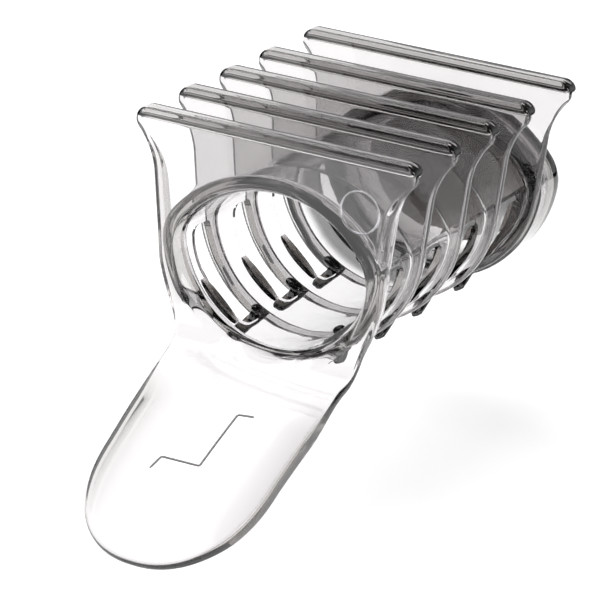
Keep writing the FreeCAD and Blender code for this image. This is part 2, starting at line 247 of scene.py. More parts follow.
def closed(parts):
    """Whole outline from its right half, mirrored, with the outward direction at each point."""
    half = np.concatenate([part[:-1] for part in parts[:-1]] + [parts[-1]])
    loop = np.concatenate([half, half[-2:0:-1] * (-1, 1)])
    ahead = np.roll(loop, -1, 0) - loop
    ahead /= np.linalg.norm(ahead, axis=1)[:, None]
    along = ahead + np.roll(ahead, 1, 0)
    along /= np.linalg.norm(along, axis=1)[:, None]
    return loop, np.stack([-along[:, 1], along[:, 0]], -1)


def to_circle(start, aim, level, radius):
    """Distance from start along each aim to a circle centred on the middle plane."""
    gap = np.array(start) - (0, level)
    b = aim @ gap
    return -b + np.sqrt(b * b - gap @ gap + radius ** 2)


def lens(start, aim, low, roof, grow):
    """Point along each aim on an outline that is the common part of a round and a roof arc.

    low and roof are (level of the centre, radius); both radii grow by the same amount.  Where
    the two reaches come near each other, the lesser is drawn in by a parabola, which rounds
    the corner.
    """
    below = to_circle(start, aim, low[0], low[1] + grow)
    above = to_circle(start, aim, roof[0], roof[1] + grow)
    near = np.maximum(SOFT - np.abs(below - above), 0) / SOFT
    reach = np.minimum(below, above) - near ** 2 * SOFT / 4
    return np.array(start) + aim * reach[:, None]


def roof_arc(radius, level, top):
    """(level of the centre, radius) of the roof over a round, through the seam corners."""
    rise = top - SEAM
    size = (radius ** 2 - (SEAM - level) ** 2 + rise ** 2) / (2 * rise)
    return top - size, size


LOW, HIGH = (0.0, BORE), roof_arc(BORE, 0.0, ROOF)


def ease(value):
    """Smooth step from 0 to 1: three times the square less twice the cube."""
    t = np.clip(value, 0, 1)
    return t * t * (3 - 2 * t)


def rounding(level):
    """Radius of the rounded rim at a level: the sheet's own, eased into the top rail's."""
    return RIM + (LIP - RIM) * ease((level - TOP + RAIL_HEIGHT) / 0.5)


def lift(flat, depth):
    """Flat points across and up, set back by a depth."""
    return np.stack([flat[:, 0], np.broadcast_to(depth, len(flat)), flat[:, 1]], -1)


def quarter(count):
    """Sines and cosines of a quarter turn."""
    turn = np.linspace(0, math.pi / 2, count)
    return zip(np.sin(turn), np.cos(turn))


def rail_rows():
    """(level, depth) down the back of the rail: rounded lip, wall, small fillet."""
    foot = TOP - RAIL_HEIGHT
    lip = [(foot + LIP * (1 - s), RAIL_DEPTH - LIP * (1 - c)) for s, c in quarter(9)]
    return lip + [(foot - FILLET * (1 - c), WEB + FILLET * (1 - s)) for s, c in quarter(4)]


def back_depth(level):
    """Depth of a plate's back face at a level."""
    foot = TOP - RAIL_HEIGHT
    drop = np.clip(foot + LIP - level, 0, LIP)
    return np.where(level >= foot, RAIL_DEPTH - LIP + np.sqrt(LIP ** 2 - drop ** 2), WEB)


def back_rows(outer, inner, fractions):
    """Flat points and depths across the back of a plate, from its rounded rim inwards."""
    rows = []
    rim = back_depth(outer[:, 1])
    fall = outer[:, 1] - inner[:, 1]
    last = 0
    for number, (level, depth) in enumerate(rail_rows()):
        above = outer[:, 1] > level
        down = (outer[:, 1] - level) / np.where(above, fall, 1)
        part = np.where(above, down, 0.002 * (number + 1))
        rows.append((outer + (inner - outer) * part[:, None], np.where(above, depth, rim)))
        last = part
    for fraction in fractions:
        part = last + (1 - last) * fraction
        rows.append((outer + (inner - outer) * part[:, None], np.full(len(outer), WEB)))
    return rows


def ring_rows(front):
    """Closed section of a ring plate carried round its outline.

    Hole edge, front face, rounded rim, back face with the rail, hole wall: each row is the
    outline moved along its own outward direction, or a blend of it and the hole's outline.
    """
    side = flare()[3]
    turn = math.atan2(side[1] - ROUND_LEVEL, side[0])
    loop, out = closed(side_run() + [arc((0, ROUND_LEVEL), ROUND, turn, -math.pi / 2, 90)])
    edge = rounding(loop[:, 1])
    wide = edge[:, None]
    inset = loop - wide * out
    aim = inset / np.linalg.norm(inset, axis=1)[:, None]
    grow = WALL + FIT
    rows = [lift(lens((0, 0), aim, LOW, HIGH, grow + HOLE_LIP * (1 - c)), HOLE_LIP * (1 - s))
            for s, c in quarter(4)]
    hole = lens((0, 0), aim, LOW, HIGH, grow + HOLE_LIP)
    for part in (0.03, 0.2, 0.45, 0.7, 0.97):
        rows.append(lift(hole + (inset - hole) * part, 0.0))
    rows += [lift(inset + wide * s * out, edge * (1 - c)) for s, c in quarter(9)]
    rim = back_depth(inset[:, 1])
    rows += [lift(inset + wide * out, edge + (rim - 2 * edge) * part) for part in (0.1, 0.9)]
    rows += [lift(inset + wide * c * out, rim - edge * (1 - s)) for s, c in quarter(9)]
    rows += [lift(*row) for row in back_rows(inset, hole, (0.03, 0.35, 0.65, 0.97))]
    rows += [lift(lens((0, 0), aim, LOW, HIGH, grow + HOLE_LIP * (1 - s)), WEB - HOLE_LIP * (1 - c))
             for s, c in quarter(4)]
    rows = np.stack(rows)
    rows[:, :, 1] += front
    return rows


def boxy(value, power):
    """Signed power of a sine or cosine, which squares the corners of a round."""
    return np.sign(value) * np.abs(value) ** power


def boxy_egg(middle, axes, halves, power, count):
    """Rounded block: each of its three coordinates is a signed power of sines and cosines."""
    u = np.linspace(0, 2 * math.pi, 2 * count, endpoint=False)
    v = np.linspace(-math.pi / 2, math.pi / 2, count + 1)
    u, v = np.meshgrid(u, v)
    round_way = boxy(np.cos(v), power)
    local = np.stack([halves[0] * round_way * boxy(np.cos(u), power),
                      halves[1] * round_way * boxy(np.sin(u), power),
                      halves[2] * boxy(np.sin(v), power)], -1)
    return local @ np.array(axes) + np.array(middle)


def bend_turn():
    """Turn of the bend between plate and tongue, and its tangent length, found by repetition."""
    turn = math.pi / 2 - SLOPE
    for _ in range(4):
        turn = math.pi / 2 - SLOPE - BEND * math.tan(turn / 2) / ARCH
    return turn, BEND * math.tan(turn / 2)


TURN, BEND_REACH = bend_turn()
BEND_TOP = FLOOR_LEVEL + BEND_REACH


def sheet_level(ahead):
    """Level on the flat sheet of a point a given length down the tongue."""
    return BEND_TOP - BEND * TURN - (ahead - BEND_REACH)


def fold(flat, depth):
    """Sheet of the front piece: upright plane, round bend, then the arched tongue.

    Returns the points and the direction up the sheet.  Flat points are (across, level); a
    level below the bend's top is a length along the bend's arc and then along the arch.
    """
    past = BEND_TOP - flat[:, 1]
    bent = np.clip(past, 0, BEND * TURN) / BEND
    arched = np.maximum(past - BEND * TURN, 0) / ARCH
    slope = math.pi / 2 - TURN
    back = -BEND * (1 - np.cos(bent)) - ARCH * (np.sin(slope + arched) - math.sin(slope))
    up = BEND_TOP - BEND * np.sin(bent) - ARCH * (math.cos(slope) - np.cos(slope + arched))
    up = up + np.maximum(-past, 0)
    tilt = bent - arched
    depth = depth * (1 + (BLADE / WEB - 1) * bent / TURN)
    points = np.stack([flat[:, 0], back + depth * np.cos(tilt), up - depth * np.sin(tilt)], -1)
    return points, np.stack([np.zeros(len(flat)), np.sin(tilt), np.cos(tilt)], -1)


def sweep(start, leave, end, arrive, fractions):
    """Rows of cubic Hermite curves from start to end with the given end directions."""
    rows = []
    for t in fractions:
        rows.append((2 * t ** 3 - 3 * t ** 2 + 1) * start + (t ** 3 - 2 * t ** 2 + t) * leave
                    + (3 * t ** 2 - 2 * t ** 3) * end + (t ** 3 - t ** 2) * arrive)
    return rows


def into_channel(flat, aim, depth, end, near, far, fractions):
    """Rows that leave the folded sheet inwards and turn to run back along the channel."""
    start, up = fold(flat, depth)
    inward = -up * aim[:, 1:] - np.stack([aim[:, 0], 0 * aim[:, 0], 0 * aim[:, 0]], -1)
    gap = end - start
    reach = near * np.clip((gap * inward).sum(1), 0.25, None)
    size = far * np.linalg.norm(gap, axis=1)
    arrive = np.zeros_like(start)
    arrive[:, 1] = size
    return sweep(start, inward * reach[:, None], end, arrive, fractions)


def front_loop():
    """Outline of the plate and tongue on the flat sheet."""
    side = flare()[3]
    waist, lean = np.array([15.8, -5.3]), np.array([-0.24, -0.971])
    blade = np.array([-0.042, -1.0])
    root = np.array([12.73, sheet_level(3.0)])
    shoulder = np.array([SHOULDER[0], sheet_level(SHOULDER[1])])
    down = np.array([-math.sin(LEAN), -math.cos(LEAN)])
    turn = np.linspace(0, math.pi / 2, 76)
    tip = np.stack([SHOULDER[0] * np.abs(np.cos(turn)) ** (2 / TIP_POWER),
                    shoulder[1] - (TIP - SHOULDER[1]) * np.sin(turn) ** (2 / TIP_POWER)], -1)
    tip[-1, 0] = 0
    return closed(side_run() + [bow(side, side + 1.45 * down, waist - 1.45 * lean, waist, 14),
                                bow(waist, waist + 4.0 * lean, root - 4.5 * blade, root, 36),
                                run(root, shoulder, 46), tip])


def hollow(flat):
    """Extra thickness under the tongue, which leaves its middle thin and its sides stout.

    It grows with the cube of the place across, and is eased in at the neck and out past the tip.
    """
    ahead = BEND_TOP - BEND * TURN + BEND_REACH - flat[:, 1]
    size = ease((ahead - HOLLOW_START) / HOLLOW_RISE)
    size = size * ease((TIP + HOLLOW_PAST - ahead) / HOLLOW_FALL)
    return TONGUE_LIP * size * np.minimum(np.abs(flat[:, 0]) / SHOULDER[0], HOLLOW_MOST) ** 3


def offset(rows, size):
    """Grid moved along its own normal, the cross product of its two directions."""
    along = np.gradient(rows, axis=0)
    round_way = np.roll(rows, -1, 1) - np.roll(rows, 1, 1)
    normal = np.cross(round_way, along)
    return rows + normal / np.linalg.norm(normal, axis=2)[:, :, None] * size


def front_rows():
    """Closed section of the front piece carried round its outline.

    Rounded rim, front of the sheet, funnel into the channel, shoulder, socket and collar,
    then back along the rear of the sheet.  Under the neck the rear of the funnel keeps one
    wall's thickness from its front, and elsewhere it runs to the outside of the collar.  The
    sides of the sheet have a bead behind their rim, eased in and out along the outline.
    """
    loop, out = front_loop()
    edge = rounding(loop[:, 1])
    wide = edge[:, None]
    inset = loop - wide * out
    eye = np.array(FRONT_EYE)
    aim = inset - eye
    aim /= np.linalg.norm(aim, axis=1)[:, None]
    under = ease((-aim[:, 1] - NECK_START) / NECK_RISE)[:, None]
    bore = {grow: lens(eye, aim, LOW, HIGH, grow)
            for grow in (0.0, 0.1, 1.0, 1.05, 1.2, 1.35, 1.45, 1.6, 1.9)}
    mouth = lens(eye, aim, (MOUTH_LEVEL, MOUTH), roof_arc(MOUTH, MOUTH_LEVEL, MOUTH_TOP), 0)
    heel = lens(eye, aim, (HEEL_LEVEL, HEEL), (HIGH[0], HIGH[1] + HEEL_ROOF), 0)
    heel = heel + (mouth - heel) * under

    rows = [fold(inset + wide * c * out, edge * (1 - s))[0] for s, c in quarter(9)]
    for part in [0.01] + list(1 - (1 - np.linspace(0, 1, 34)[1:]) ** 1.6):
        rows.append(fold(inset + (mouth - inset) * part, 0.0)[0])
    end = lift(bore[0.0], THROAT - 0.1)
    way = np.linspace(0, 1, 17)
    funnel = np.stack(into_channel(mouth, aim, 0.0, end, near=1.3, far=1.0, fractions=way))
    rows += list(funnel[1:])
    rows += [lift(bore[0.1], THROAT), lift(bore[1.0], THROAT), lift(bore[1.05], THROAT + 0.05),
             lift(bore[1.05], COLLAR_REAR - 0.15), lift(bore[1.2], COLLAR_REAR),
             lift(bore[1.6] + (bore[1.35] - bore[1.6]) * under, COLLAR_REAR)]
    rows.append(lift(bore[1.9] + (bore[1.45] - bore[1.9]) * under, COLLAR_REAR - 0.3))
    rear = np.stack(into_channel(heel, aim, WEB, lift(bore[1.9], COLLAR_REAR - 0.3),
                                 near=1.0, far=0.9, fractions=way))
    rear = rear + (offset(funnel, WALL + 0.3) - rear) * under[None]
    rows += list(rear[:0:-1])
    beading = (SIDE_BEAD * ease((BEAD_TOP - inset[:, 1]) / BEAD_TOP_FADE)
               * ease((inset[:, 1] - BEAD_LOW) / BEAD_LOW_FADE))
    back = back_rows(inset, heel, list(np.linspace(0, 1, 30) ** 1.2))
    for flat, depth in reversed(back):
        in_from_rim = np.linalg.norm(flat - inset, axis=1)
        extra = beading * (1 - ease(in_from_rim / BEAD_WIDTH))
        rows.append(fold(flat, depth + hollow(flat) + extra)[0])
    rim = back_depth(inset[:, 1]) + hollow(inset) + beading
    rows += [fold(inset + wide * s * out, rim - edge * (1 - c))[0] for s, c in quarter(9)]
    return np.stack(rows)


def bead(path, half_width, half_height, looped):
    """Fine raised line on the sheet: an ellipse carried along a path in the flat sheet."""
    if looped:
        ahead = np.roll(path, -1, 0) - np.roll(path, 1, 0)
        size = np.ones(len(path))
    else:
        ahead = np.gradient(path, axis=0)
        place = np.arange(len(path))
        size = np.sqrt(np.clip(np.minimum(place, place[::-1]) / 3, 0, 1))
    ahead /= np.linalg.norm(ahead, axis=1)[:, None]
    across = np.stack([-ahead[:, 1], ahead[:, 0]], -1)
    turns = np.linspace(0, 2 * math.pi, 12, endpoint=False)
    rows = [fold(path + across * (half_width * size * math.cos(a))[:, None],
                 -half_height * size * math.sin(a))[0] for a in turns]
    return np.stack(rows, 1)


def step_path():
    """Cranked line on the tongue, its corners rounded by a running mean."""
    corners = np.array(STEP_CORNERS)
    gaps = np.linalg.norm(np.diff(corners, axis=0), axis=1)
    way = np.concatenate([[0], np.cumsum(gaps)])
    at = np.linspace(0, way[-1], 150)
    path = np.stack([np.interp(at, way, corners[:, 0]), np.interp(at, way, corners[:, 1])], -1)
    padded = np.concatenate([path[:1]] * 2 + [path] + [path[-1:]] * 2)
    path = sum(padded[k:k + len(path)] for k in range(5)) / 5
    return np.stack([path[:, 0], sheet_level(path[:, 1])], -1)


def finger_rows(front, out, round_way):
    """Leaning finger of a catch: a boxy oval carried forwards and outwards, its ends closed.

    Each step of its way gives the place back from the plate's front, the radius and the size.
    """
    turn = np.linspace(0, 2 * math.pi, 28, endpoint=False)
    wide = FINGER_WIDTH * boxy(np.cos(turn), FINGER_POWER)
    thick = FINGER_THICKNESS * boxy(np.sin(turn), FINGER_POWER)
    rows = []
    for back, radius, size in FINGER_WAY:
        middle = out * radius + np.array([0, front + back, 0])
        rows.append(middle + size * (wide[:, None] * round_way + thick[:, None] * out))
    return np.stack(rows)


def catch_parts(front, head):
    """Finger, pip and button head of the catch on each side under a ring plate."""
    parts = []
    back = np.array([0, 1.0, 0])
    for side in (1, -1):
        out = np.array([side * math.cos(CATCH_ANGLE), 0, -math.sin(CATCH_ANGLE)])
        round_way = np.array([side * math.sin(CATCH_ANGLE), 0, math.cos(CATCH_ANGLE)])
        turned = (back, round_way, out)
        foot = back * (front - PIP_SETBACK)
        pip = boxy_egg(out * PIP_RADIUS + foot, turned, PIP_HALVES, 0.8, 12)
        knob = boxy_egg(out * KNOB_RADIUS + foot + round_way * (head - KNOB_LEAN) * 0.5, turned,
                        (min(head, KNOB_LENGTH), head, KNOB_THICKNESS), 0.85, 14)
        # Material number 1 is the smoky plastic: the catches' darkness is painted shade.
        parts += [capped(rows, 1) for rows in (finger_rows(front, out, round_way), pip, knob)]
    return parts


def window_ease(count):
    """Half a window's outline, a superellipse: place along it and half width, both parts of 1."""
    turn = np.linspace(-math.pi / 2, math.pi / 2, count)
    return boxy(np.sin(turn), WINDOW_POWER), np.maximum(np.cos(turn), 0) ** WINDOW_POWER


def lower_turns():
    """Turns round the lower half from seam to seam, and the windows' half width at each."""
    place, half = window_ease(44)
    middle, reach = (WINDOW_TOP + WINDOW_BOTTOM) / 2, (WINDOW_BOTTOM - WINDOW_TOP) / 2
    left = middle + reach * place
    start = math.degrees(math.asin(-SEAM / BORE))
    turns = np.concatenate([[start, (start + WINDOW_TOP) / 2], left,
                            np.linspace(WINDOW_BOTTOM, 180 - WINDOW_BOTTOM, 32)[1:-1],
                            180 - left[::-1], [180 - (start + WINDOW_TOP) / 2, 180 - start]])
    half = np.concatenate([np.zeros(2), half, np.zeros(30), half[::-1], np.zeros(2)])
    return np.radians(turns), np.maximum(half, 0.02)


def shell(outer, inner, keep):
    """Closed wall between two like grids: both faces of the kept quads, and their edges.

    Returns points, quads and a mask of the quads along the grid's first and last columns.
    """
    rows, count = outer.shape[:2]
    r, c = np.nonzero(keep)
    first = r * count + c
    face = np.stack([first, first + 1, first + count + 1, first + count], -1)
    edges = np.stack([face, np.roll(face, -1, 1)], -1).reshape(-1, 2)
    key = np.sort(edges, 1)
    _, where, times = np.unique(key, axis=0, return_inverse=True, return_counts=True)
    rim = edges[times[where.ravel()] == 1]
    size = rows * count
    wall = np.stack([rim[:, 1], rim[:, 0], rim[:, 0] + size, rim[:, 1] + size], -1)
    column = rim % count
    seam = (column == 0).all(1) | (column == count - 1).all(1)
    quads = np.concatenate([face, face[:, ::-1] + size, wall])
    joint = np.concatenate([np.zeros(2 * len(face), dtype=bool), seam])
    return np.concatenate([outer.reshape(-1, 3), inner.reshape(-1, 3)]), quads, joint


def flow_marks(points, size):
    """Gentle waves of the moulded wall: a sum of sines that run across each other."""
    x, y, z = points[..., 0], points[..., 1], points[..., 2]
    waves = (np.sin(1.1 * x + 0.7 * y) + np.sin(0.6 * x - 1.3 * y + 1.0)
             + np.sin(1.9 * x + 0.4 * y + 2.2) + 0.7 * np.sin(0.3 * x + 2.3 * y + 0.5)
             + 0.6 * np.sin(2.6 * x - 1.7 * y + 4.0))
    return size * waves * ease((-z - 9.5) / 3.0)


def lower_half():
    """Lower channel half: a round wall carried back, pierced by the catch windows."""
    turns, half = lower_turns()
    depths, blank = [], []
    level = CHANNEL_FRONT
    for front in FRONTS[1:]:
        middle = front - WINDOW_SETBACK - WINDOW_LENGTH / 2
        first, second = (middle + side * half * WINDOW_LENGTH / 2 for side in (-1, 1))
        parts = np.linspace(0, 1, 9)
        depths += [level + (first - level) * part for part in parts[:-1]] + [first]
        blank.append(len(depths) - 1)
        level = second
    depths += [level + (CHANNEL_REAR - level) * part for part in np.linspace(0, 1, 9)]
    depths = np.stack([np.broadcast_to(row, turns.shape) for row in depths])
    aim = np.stack([-np.cos(turns), -np.sin(turns)], -1)
    grids = []
    for grow, size in ((WALL, 0.0), (0.0, MOTTLE)):
        across = lens((0, 0), aim, LOW, HIGH, grow)
        points = np.stack([lift(across, row) for row in depths])
        points[..., ::2] *= (1 + flow_marks(points, size) / BORE)[..., None]
        grids.append(points)
    keep = np.ones((len(depths) - 1, len(turns) - 1), dtype=bool)
    open_turns = half[:-1] + half[1:] > 0.05
    for row in blank:
        keep[row] = ~open_turns
    return shell(*grids, keep)


def upper_half():
    """Upper channel half: the flat arc of the roof carried back."""
    start = math.asin(-SEAM / BORE)
    turns = np.linspace(JOINT / BORE - start, math.pi + start - JOINT / BORE, 120)
    aim = np.stack([np.cos(turns), np.sin(turns)], -1)
    depths = np.linspace(CHANNEL_FRONT, CHANNEL_REAR, 12)
    grids = []
    for grow in (WALL, 0.0):
        across = lens((0, 0), aim, LOW, HIGH, grow)
        grids.append(np.stack([lift(across, depth) for depth in depths]))
    return shell(*grids, np.ones((len(depths) - 1, len(turns) - 1), dtype=bool))


def half_moons():
    """Ledges of painted shade along each window in the bore: chord and wall's arc, rounded ends."""
    t = np.linspace(-1, 1, 15)
    rim = np.full(len(t), BORE - LEDGE_GAP)
    chord = (BORE - LEDGE_GAP) * math.cos(LEDGE_HALF) / np.cos(LEDGE_HALF * t)
    loop = np.stack([LEDGE_MIDDLE + LEDGE_HALF * np.concatenate([t, t[::-1]]),
                     np.concatenate([chord - LEDGE_SWELL * (1 - t ** 4), rim])], -1)
    centre = np.array([LEDGE_MIDDLE, BORE * math.cos(LEDGE_HALF) + 0.2])
    parts = []
    for front in FRONTS[1:]:
        rear = front - WINDOW_SETBACK - WINDOW_LENGTH
        for side in (-1, 1):
            rows = []
            for size, depth in LEDGE_SECTION:
                turn, radius = (centre + (loop - centre) * size).T
                flat = np.stack([side * radius * np.cos(turn), -radius * np.sin(turn)], -1)
                rows.append(lift(flat, rear + depth))
            # Material number 1: the ledges' darkness is painted shade.
            parts.append(capped(np.stack(rows), 1))
    return parts


def cap_aims(count):
    """Point inside the cap's outline, and aims from it to all sides."""
    turn = np.linspace(0, 2 * math.pi, count, endpoint=False)
    return np.array(CAP_EYE), np.stack([np.sin(turn), np.cos(turn)], -1)


def cap_rows():
    """Section of the end cap from the middle of its inner floor to the middle of its back.

    Each row is the channel outline grown by an amount, set at a depth, and for the floors
    drawn in towards the middle by a factor.
    """
    inner = CAP_END - CAP_FLOOR
    grip = WALL + FIT
    outer = grip + CAP_WALL
    section = [(-0.6, inner, part) for part in (0, 0.3, 0.6, 0.9, 0.99)]
    section += [(-0.6 * (1 - s), inner - 0.6 * (1 - c), 1) for s, c in quarter(6)]
    section += [(0, CHANNEL_REAR + 0.15, 1), (0.1, CHANNEL_REAR + 0.05, 1),
                (WALL, CHANNEL_REAR + 0.05, 1), (grip, CHANNEL_REAR, 1),
                (grip, CAP_FRONT + 0.15, 1), (grip + 0.15, CAP_FRONT, 1)]
    section += [(outer - 0.35 * (1 - s), CAP_FRONT + 0.35 * (1 - c), 1) for s, c in quarter(5)]
    section += [(outer, CAP_FRONT + 0.4, 1), (outer, CAP_END - CAP_ROUND - 0.05, 1)]
    section += [(outer - CAP_ROUND * (1 - c), CAP_END - CAP_ROUND * (1 - s), 1)
                for s, c in quarter(12)]
    section += [(outer - CAP_ROUND, CAP_END, part) for part in (0.99, 0.9, 0.6, 0.3, 0)]
    eye, aim = cap_aims(360)
    rows = []
    for grow, depth, part in section:
        rows.append(lift(eye + (lens(eye, aim, LOW, HIGH, grow) - eye) * part, depth))
    return np.stack(rows)


def core_rows():
    """Dark skin of painted shade on the cap's inner floor: a shallow lens between two closed faces.
    """
    eye, aim = cap_aims(180)
    rim = lens(eye, aim, LOW, HIGH, CORE_INSET) - eye
    level = CAP_END - CAP_FLOOR - CORE_GAP
    return np.stack([lift(eye + rim * size, level - rise) for size, rise in CORE_SECTION])


# ---- material nodes ---------------------------------------------------------

def bare_tree(owner):
    """Empty node tree of a material or of the world."""
    owner.use_nodes = True
    owner.node_tree.nodes.clear()
    return owner.node_tree


def put_node(tree, kind, values=None, **settings):
    """New node with its settings, and with constant values on its own input sockets."""
    node = tree.nodes.new("ShaderNode" + kind)
    for name, value in settings.items():
        setattr(node, name, value)
    for name, value in (values or {}).items():
        node.inputs[name].default_value = value
    return node


def link(tree, *ways):
    """Links between nodes, each given as (node, its output, next node, its input)."""
    for start, output, end, socket in ways:
        tree.links.new(start.outputs[output], end.inputs[socket])


def paint_bay_shade(tree, coords, hue, shade):
    """Hue darkened over the last bay as painted shade: a ramp read by the place back along the
    channel.
    """
    bay = put_node(tree, "ValToRGB")
    split = put_node(tree, "SeparateXYZ")
    scaled = put_node(tree, "Math", {1: RAMP_SCALE}, operation="MULTIPLY")
    front, rear = BAY_FRONT * RAMP_SCALE, BAY_REAR * RAMP_SCALE
    stops = ((0.0, 1.0), (front, 1.0), (front + BAY_FADE_IN, shade), (rear, shade),
             (rear + BAY_FADE_OUT, 1.0))
    ramp = bay.color_ramp
    for number, (place, grey) in enumerate(stops):
        stop = ramp.elements[number] if number < 2 else ramp.elements.new(place)
        stop.position = place
        stop.color = (grey, grey, grey, 1.0)
    darker = put_node(tree, "MixRGB", {"Fac": 1.0}, blend_type="MULTIPLY")
    link(tree, (coords, "Object", split, 0), (split, "Y", scaled, 0), (scaled, 0, bay, "Fac"),
         (hue, "Color", darker, "Color1"), (bay, "Color", darker, "Color2"))
    return darker


def clear_plastic(name, tint, smoke_colour, density, roughness, scale, shade=None):
    """Clear moulded plastic: refracting shell, smoky body, flow ripple and fine scuffs.

    Faces marked as a joint let light straight through, as a welded seam does.  With a shade
    the plastic is darkened over the channel's last bay, which is painted shade.
    """
    material = bpy.data.materials.new(name)
    tree = bare_tree(material)
    out = put_node(tree, "OutputMaterial")
    shell = put_node(tree, "BsdfPrincipled", {"Transmission Weight": 1.0, "IOR": CLEAR_IOR})
    coords = put_node(tree, "TexCoord")
    flow = put_node(tree, "Mapping", {"Scale": (scale, scale, scale * FLOW_STRETCH)})
    ripple = put_node(tree, "TexNoise", {"Scale": 1.0, "Detail": 1.5})
    bump = put_node(tree, "Bump", {"Strength": 1.0, "Distance": RIPPLE_HEIGHT})
    scuff = put_node(tree, "TexNoise", {"Scale": SCUFF_SCALE, "Detail": 2.0})
    gloss = put_node(tree, "MapRange", {"From Min": 0.35, "From Max": 0.75, "To Min": roughness,
                                        "To Max": roughness + SCUFF_ROUGHNESS})
    hue = put_node(tree, "MixRGB", {
        "Color1": (*tint, 1.0), "Color2": (tint[0] * 0.98, tint[1] * 0.98, tint[2] * 0.985, 1.0)})
    link(tree, (coords, "Object", flow, "Vector"), (flow, "Vector", ripple, "Vector"),
         (ripple, "Fac", bump, "Height"), (bump, "Normal", shell, "Normal"),
         (coords, "Object", scuff, "Vector"), (scuff, "Fac", gloss, "Value"),
         (gloss, "Result", shell, "Roughness"), (ripple, "Fac", hue, "Fac"))
    if shade is not None:
        hue = paint_bay_shade(tree, coords, hue, shade)

    smoke = put_node(tree, "VolumeAbsorption", {"Color": (*smoke_colour, 1.0), "Density": density})
    weld = put_node(tree, "Attribute", attribute_name="joint")
    straight = put_node(tree, "BsdfTransparent")
    body = put_node(tree, "MixShader")
    light = put_node(tree, "LightPath")
    passing = put_node(tree, "BsdfTransparent", {"Color": SHADOW_TINT})
    mix = put_node(tree, "MixShader")
    link(tree, (hue, "Color", shell, "Base Color"), (smoke, "Volume", out, "Volume"),
         (weld, "Fac", body, "Fac"), (shell, "BSDF", body, 1), (straight, "BSDF", body, 2),
         (light, "Is Shadow Ray", mix, "Fac"), (body, "Shader", mix, 1), (passing, "BSDF", mix, 2),
         (mix, "Shader", out, "Surface"))
    return material


def mark_plastic(colour):
    """Frosted raised line: matt grey plastic with a fine grain."""
    material = bpy.data.materials.new("mark_plastic")
    material.use_nodes = True
    tree = material.node_tree
    shell = tree.nodes["Principled BSDF"]
    shell.inputs["Roughness"].default_value = 0.35
    coords = put_node(tree, "TexCoord")
    grain = put_node(tree, "TexNoise", {"Scale": 1500.0})
    shade = put_node(tree, "MixRGB", {"Color1": (*colour, 1.0),
                                      "Color2": (*(1.8 * part for part in colour), 1.0)})
    bump = put_node(tree, "Bump", {"Distance": 0.00002})
    link(tree, (coords, "Object", grain, "Vector"), (grain, "Fac", shade, "Fac"),
         (shade, "Color", shell, "Base Color"), (grain, "Fac", bump, "Height"),
         (bump, "Normal", shell, "Normal"))
    return material


# ---- stage --------------------------------------------------------------------

class PlasticSettings(bpy.types.PropertyGroup):
    """Colours of the plastics."""

    tint: bpy.props.FloatVectorProperty(
        name="Tint", description="Colour of the clear plastic's surface",
        default=(0.987, 0.982, 0.997), size=3, subtype="COLOR")
    smoke: bpy.props.FloatVectorProperty(
        name="Smoke", description="Colour that light keeps inside the clear plastic",
        default=(0.505, 0.49, 0.475), size=3, subtype="COLOR")
    front_density: bpy.props.FloatProperty(
        name="Front density", description="How fast the front piece darkens light, per metre",
        default=620.0)
    plate_density: bpy.props.FloatProperty(
        name="Plate density", description="How fast the ring plates darken light, per metre",
        default=820.0)
    channel_density: bpy.props.FloatProperty(
        name="Channel density", description="How fast the channel darkens light, per metre",
        default=520.0)
    # Painted shade: how dark the lower channel is painted over its last bay.
    rear_bay_painted_shade: bpy.props.FloatProperty(
        name="Rear bay",
        description="Shade of the lower channel in its last bay, in front of the end cap",
        default=0.3, min=0.0, max=1.0, subtype="FACTOR")
    # Painted shade: the dark tint and density of the catches, ledges and cap floor stand in for
    # shade.
    painted_shade_tint: bpy.props.FloatVectorProperty(
        name="Catch tint", description="Colour of the smoky catches",
        default=(0.62, 0.60, 0.60), size=3, subtype="COLOR")
    painted_shade_density: bpy.props.FloatProperty(
        name="Catch density", description="How fast the catches darken light, per metre",
        default=5200.0)
    mark_colour: bpy.props.FloatVectorProperty(
        name="Mark", description="Colour of the raised lines",
        default=(0.16, 0.155, 0.16), size=3, subtype="COLOR")


class SizeSettings(bpy.types.PropertyGroup):
    """Sizes of the small raised forms."""

    mark_radius: bpy.props.FloatProperty(
        name="Ring mark radius",
        description="Radius of the ring mark on the front plate, in millimetres",
        default=2.7)
    line_width: bpy.props.FloatProperty(
        name="Line width", description="Width of the raised lines, in millimetres",
        default=0.3)
    line_height: bpy.props.FloatProperty(
        name="Line height", description="Height of the raised lines, in millimetres",
        default=0.07)
    small_head: bpy.props.FloatProperty(
        name="First catch head",
        description="Half width of the button heads under the first ring plate, in millimetres",
        default=0.8)
    large_head: bpy.props.FloatProperty(
        name="Other catch heads",
        description="Half width of the button heads under the other ring plates, in millimetres",
        default=1.4)


